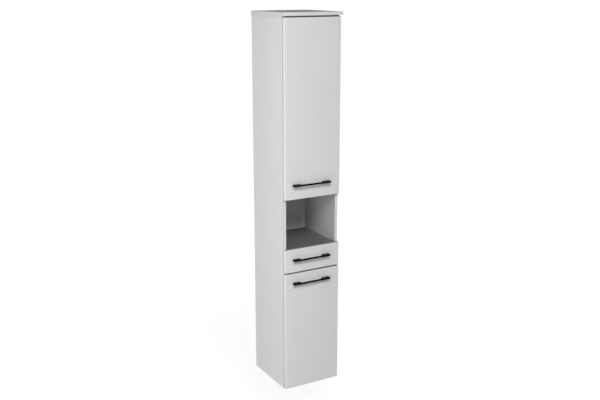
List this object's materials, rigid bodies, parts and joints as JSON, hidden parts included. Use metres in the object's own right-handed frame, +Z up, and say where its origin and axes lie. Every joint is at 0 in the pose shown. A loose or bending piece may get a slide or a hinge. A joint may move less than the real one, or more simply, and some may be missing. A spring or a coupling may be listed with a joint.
{
  "type": "tall bathroom cabinet",
  "caption": "Slim wall-hung tall bathroom cabinet with gloss fronts: hinged doors above and below an open niche and a drawer, black bow handles and an overhanging cover plate.",
  "frame": {"origin": "on the wall plane, at the bottom of the carcass, half way across its width", "axes": "+X right seen from the front, +Y to the wall, +Z up; the fronts face -Y"},
  "size_m": [0.307, 0.343, 1.818],
  "materials": {
    "front_gloss": "gloss white film on fibreboard",
    "carcass_gloss": "white film on chipboard",
    "inner_board": "satin white melamine",
    "drawer_board": "satin white melamine",
    "handle_black": "gloss black",
    "bright_steel": "nickel plated",
    "grey_plastic": "moulded, satin"
  },
  "bodies": {
    "root": {"side_panel_left": "carcass_gloss", "side_panel_right": "carcass_gloss", "bottom_panel": "inner_board", "top_panel": "inner_board", "niche_roof": "inner_board", "niche_floor": "inner_board", "drawer_divider": "inner_board", "upper_shelf_high": "inner_board", "upper_shelf_low": "inner_board", "lower_shelf": "inner_board", "back_panel": "inner_board", "cover_top": "carcass_gloss", "shelf_pins": "bright_steel", "hanger_housing_left": "grey_plastic", "hanger_hook_left": "bright_steel", "hanger_housing_right": "grey_plastic", "hanger_hook_right": "bright_steel", "wall_rail": "bright_steel", "hinge_arm_lower_door_bottom": "bright_steel", "hinge_plate_lower_door_bottom": "bright_steel", "hinge_arm_lower_door_top": "bright_steel", "hinge_plate_lower_door_top": "bright_steel", "hinge_arm_upper_door_bottom": "bright_steel", "hinge_plate_upper_door_bottom": "bright_steel", "hinge_arm_upper_door_top": "bright_steel", "hinge_plate_upper_door_top": "bright_steel", "runner_cabinet_rail_left": "bright_steel", "runner_cabinet_rail_right": "bright_steel", "front_bumpers": "grey_plastic", "hinge_plate_screws": "bright_steel", "hinge_arm_screws": "bright_steel", "hanger_screws": "bright_steel"},
    "upper_door": {"upper_door": "front_gloss", "upper_handle": "handle_black", "hinge_cup_upper_door_bottom": "bright_steel", "hinge_cup_upper_door_top": "bright_steel", "hinge_pins_upper_door": "bright_steel", "upper_handle_screws": "bright_steel", "hinge_cup_screws_upper_door": "bright_steel"},
    "drawer": {"drawer_front": "front_gloss", "drawer_handle": "handle_black", "drawer_side_left": "drawer_board", "drawer_side_right": "drawer_board", "drawer_back": "drawer_board", "drawer_bottom": "drawer_board", "runner_drawer_rail_left": "bright_steel", "runner_drawer_rail_right": "bright_steel", "drawer_handle_screws": "bright_steel"},
    "lower_door": {"lower_door": "front_gloss", "lower_handle": "handle_black", "hinge_cup_lower_door_bottom": "bright_steel", "hinge_cup_lower_door_top": "bright_steel", "hinge_pins_lower_door": "bright_steel", "lower_handle_screws": "bright_steel", "hinge_cup_screws_lower_door": "bright_steel"},
    "runner_middle_left": {"runner_middle_rail_left": "bright_steel"},
    "runner_middle_right": {"runner_middle_rail_right": "bright_steel"}
  },
  "joints": [
    {"name": "lower_door_swing", "type": "hinge", "parent": "root", "child": "lower_door", "pos_m": [0.1422, -0.313, 0.3005], "axis": [0, 0, 1], "range_deg": [0, 95]},
    {"name": "upper_door_swing", "type": "hinge", "parent": "root", "child": "upper_door", "pos_m": [0.1422, -0.313, 1.379], "axis": [0, 0, 1], "range_deg": [0, 95]},
    {"name": "drawer_slide", "type": "slide", "parent": "root", "child": "drawer", "axis": [0, -1, 0], "range_m": [0, 0.22]},
    {"name": "runner_middle_left_slide", "type": "slide", "parent": "root", "child": "runner_middle_left", "axis": [0, -1, 0], "range_m": [0, 0.11]},
    {"name": "runner_middle_right_slide", "type": "slide", "parent": "root", "child": "runner_middle_right", "axis": [0, -1, 0], "range_m": [0, 0.11]}
  ],
  "couplings": [
    {"joint": "runner_middle_left_slide", "follows": "drawer_slide", "ratio": 0.5},
    {"joint": "runner_middle_right_slide", "follows": "drawer_slide", "ratio": 0.5}
  ]
}
